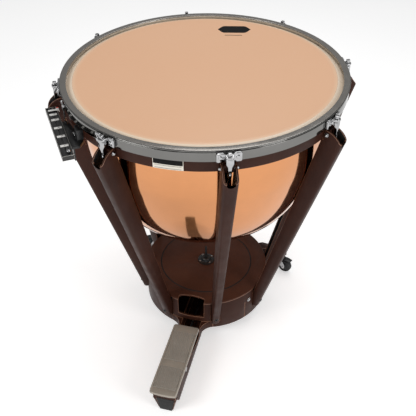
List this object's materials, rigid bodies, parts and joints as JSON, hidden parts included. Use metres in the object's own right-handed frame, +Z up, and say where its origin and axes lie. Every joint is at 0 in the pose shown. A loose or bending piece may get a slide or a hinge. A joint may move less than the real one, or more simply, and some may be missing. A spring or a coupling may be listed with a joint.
{
  "type": "pedal timpani",
  "caption": "Pedal kettledrum: copper bowl and film head in a steel ring on splayed struts, with a tuning pedal, pitch gauge and rear casters.",
  "frame": {"origin": "centre of the footprint's bounding box on the floor", "axes": "+Z up, the pedal points to -Y, +X to the player's right as seen from the pedal side facing the drum"},
  "size_m": [0.8026, 0.9133, 0.845],
  "materials": {
    "frame_paint": "dark brown hammered paint, satin",
    "black_fitting": "black satin paint on steel",
    "bright_chrome": "bright chrome plate",
    "hoop_steel": "fine turned steel, plated",
    "copper_bowl": "spun polished copper, clear lacquer",
    "head_film": "translucent cream film, slightly hazy",
    "label_black": "black plate with pale frame lines, no words",
    "rubber_black": "moulded, slightly dusty",
    "spring_steel": "plain oiled steel",
    "pedal_metal": "grey-taupe hammered paint",
    "pedal_grip": "grey ribbed rubber",
    "marker_white": "white sliding tab with a printed note letter",
    "wheel_black": "black moulded caster wheel"
  },
  "bodies": {
    "frame": {"base_housing": "frame_paint", "base_cover": "frame_paint", "guide_boss": "black_fitting", "cover_screws": "bright_chrome", "strut_1": "frame_paint", "strut_2": "frame_paint", "strut_3": "frame_paint", "strut_4": "frame_paint", "strut_5": "frame_paint", "strut_6": "frame_paint", "strut_7": "frame_paint", "strut_8": "frame_paint", "strut_top_bolts": "bright_chrome", "strut_foot_bolts": "black_fitting", "support_ring": "frame_paint", "bowl": "copper_bowl", "drum_head": "head_film", "name_plate": "label_black", "gauge_bracket": "black_fitting", "gauge_rail": "hoop_steel", "gauge_scale": "black_fitting", "gauge_screws": "bright_chrome", "pedal_axle": "bright_chrome", "front_foot": "rubber_black", "caster_legs": "frame_paint", "bell_crank_bracket": "black_fitting"},
    "tension": {"counterhoop": "hoop_steel", "flesh_hoop": "hoop_steel", "head_collar": "head_film", "lug_brackets": "bright_chrome", "lug_clevises": "bright_chrome", "tension_rods": "bright_chrome", "spider": "spring_steel", "gauge_drive_rod": "bright_chrome", "balance_spring": "spring_steel"},
    "pedal": {"pedal_plate": "pedal_metal", "pedal_pads": "pedal_grip"},
    "draw_rod": {"draw_rod": "spring_steel"},
    "bell_crank": {"bell_crank": "spring_steel"},
    "pointer": {"gauge_pointer": "marker_white"},
    "note_marker_1": {"note_marker_1": "marker_white"},
    "note_marker_2": {"note_marker_2": "marker_white"},
    "note_marker_3": {"note_marker_3": "marker_white"},
    "note_marker_4": {"note_marker_4": "marker_white"},
    "note_marker_5": {"note_marker_5": "marker_white"},
    "gauge_knob": {"gauge_knob": "bright_chrome"},
    "tension_bolt_1": {"tension_bolt_1": "bright_chrome"},
    "tension_bolt_2": {"tension_bolt_2": "bright_chrome"},
    "tension_bolt_3": {"tension_bolt_3": "bright_chrome"},
    "tension_bolt_4": {"tension_bolt_4": "bright_chrome"},
    "tension_bolt_5": {"tension_bolt_5": "bright_chrome"},
    "tension_bolt_6": {"tension_bolt_6": "bright_chrome"},
    "tension_bolt_7": {"tension_bolt_7": "bright_chrome"},
    "tension_bolt_8": {"tension_bolt_8": "bright_chrome"},
    "caster_fork_right": {"caster_fork_right": "bright_chrome"},
    "caster_wheel_right": {"caster_wheel_right": "wheel_black"},
    "caster_brake_right": {"caster_brake_right": "wheel_black"},
    "caster_fork_left": {"caster_fork_left": "bright_chrome"},
    "caster_wheel_left": {"caster_wheel_left": "wheel_black"},
    "caster_brake_left": {"caster_brake_left": "wheel_black"}
  },
  "joints": [
    {"name": "head_pull", "type": "slide", "parent": "frame", "child": "tension", "axis": [0, 0, 1], "range_m": [-0.0051, 0], "stiffness_N_per_m": 2000, "springref_m": 0.0437, "deforming": ["head_collar", "balance_spring"]},
    {"name": "pedal_hinge", "type": "hinge", "parent": "frame", "child": "pedal", "pos_m": [0, -0.3391, 0.066], "axis": [1, 0, 0], "range_deg": [-15, 0]},
    {"name": "draw_rod_slide", "type": "slide", "parent": "frame", "child": "draw_rod", "axis": [0, 1, 0], "range_m": [-0.0093, 0]},
    {"name": "bell_crank_hinge", "type": "hinge", "parent": "frame", "child": "bell_crank", "pos_m": [0, 0.0308, 0.077], "axis": [1, 0, 0], "range_deg": [-11.5, 0]},
    {"name": "pointer_slide", "type": "slide", "parent": "frame", "child": "pointer", "axis": [0.5635, -0.8261, 0], "range_m": [0, 0.191]},
    {"name": "note_marker_1_slide", "type": "slide", "parent": "frame", "child": "note_marker_1", "axis": [0.5635, -0.8261, 0], "range_m": [-0.012, 0.012]},
    {"name": "note_marker_2_slide", "type": "slide", "parent": "frame", "child": "note_marker_2", "axis": [0.5635, -0.8261, 0], "range_m": [-0.012, 0.018]},
    {"name": "note_marker_3_slide", "type": "slide", "parent": "frame", "child": "note_marker_3", "axis": [0.5635, -0.8261, 0], "range_m": [-0.018, 0.018]},
    {"name": "note_marker_4_slide", "type": "slide", "parent": "frame", "child": "note_marker_4", "axis": [0.5635, -0.8261, 0], "range_m": [-0.018, 0.018]},
    {"name": "note_marker_5_slide", "type": "slide", "parent": "frame", "child": "note_marker_5", "axis": [0.5635, -0.8261, 0], "range_m": [-0.018, 0.016]},
    {"name": "gauge_knob_turn", "type": "hinge", "parent": "frame", "child": "gauge_knob", "pos_m": [-0.24654, -0.31201, 0.78], "axis": [0, 0, 1], "continuous": true},
    {"name": "tension_bolt_1_turn", "type": "hinge", "parent": "tension", "child": "tension_bolt_1", "pos_m": [0.15384, -0.3155, 0.82], "axis": [0, 0, 1], "continuous": true},
    {"name": "tension_bolt_2_turn", "type": "hinge", "parent": "tension", "child": "tension_bolt_2", "pos_m": [0.3714, -0.09794, 0.82], "axis": [0, 0, 1], "continuous": true},
    {"name": "tension_bolt_3_turn", "type": "hinge", "parent": "tension", "child": "tension_bolt_3", "pos_m": [0.3714, 0.20974, 0.82], "axis": [0, 0, 1], "continuous": true},
    {"name": "tension_bolt_4_turn", "type": "hinge", "parent": "tension", "child": "tension_bolt_4", "pos_m": [0.15384, 0.4273, 0.82], "axis": [0, 0, 1], "continuous": true},
    {"name": "tension_bolt_5_turn", "type": "hinge", "parent": "tension", "child": "tension_bolt_5", "pos_m": [-0.15384, 0.4273, 0.82], "axis": [0, 0, 1], "continuous": true},
    {"name": "tension_bolt_6_turn", "type": "hinge", "parent": "tension", "child": "tension_bolt_6", "pos_m": [-0.3714, 0.20974, 0.82], "axis": [0, 0, 1], "continuous": true},
    {"name": "tension_bolt_7_turn", "type": "hinge", "parent": "tension", "child": "tension_bolt_7", "pos_m": [-0.3714, -0.09794, 0.82], "axis": [0, 0, 1], "continuous": true},
    {"name": "tension_bolt_8_turn", "type": "hinge", "parent": "tension", "child": "tension_bolt_8", "pos_m": [-0.15384, -0.3155, 0.82], "axis": [0, 0, 1], "continuous": true},
    {"name": "caster_fork_right_swivel", "type": "hinge", "parent": "frame", "child": "caster_fork_right", "pos_m": [0.22611, 0.2294, 0.075], "axis": [0, 0, 1], "continuous": true},
    {"name": "caster_wheel_right_spin", "type": "hinge", "parent": "caster_fork_right", "child": "caster_wheel_right", "pos_m": [0.24828, 0.22021, 0.025], "axis": [0.3827, 0.9239, 0], "continuous": true},
    {"name": "caster_brake_right_lever", "type": "hinge", "parent": "caster_fork_right", "child": "caster_brake_right", "pos_m": [0.24458, 0.22174, 0.0545], "axis": [0.3827, 0.9239, 0], "range_deg": [-12, 0]},
    {"name": "caster_fork_left_swivel", "type": "hinge", "parent": "frame", "child": "caster_fork_left", "pos_m": [-0.22611, 0.2294, 0.075], "axis": [0, 0, 1], "continuous": true},
    {"name": "caster_wheel_left_spin", "type": "hinge", "parent": "caster_fork_left", "child": "caster_wheel_left", "pos_m": [-0.24828, 0.22021, 0.025], "axis": [0.3827, -0.9239, 0], "continuous": true},
    {"name": "caster_brake_left_lever", "type": "hinge", "parent": "caster_fork_left", "child": "caster_brake_left", "pos_m": [-0.24458, 0.22174, 0.0545], "axis": [0.3827, -0.9239, 0], "range_deg": [-12, 0]}
  ],
  "couplings": [
    {"joint": "head_pull", "follows": "pedal_hinge", "m_per_rad": 0.019098},
    {"joint": "draw_rod_slide", "follows": "pedal_hinge", "m_per_rad": 0.035},
    {"joint": "bell_crank_hinge", "follows": "pedal_hinge", "ratio": 0.76087},
    {"joint": "pointer_slide", "follows": "pedal_hinge", "m_per_rad": -0.72574}
  ]
}
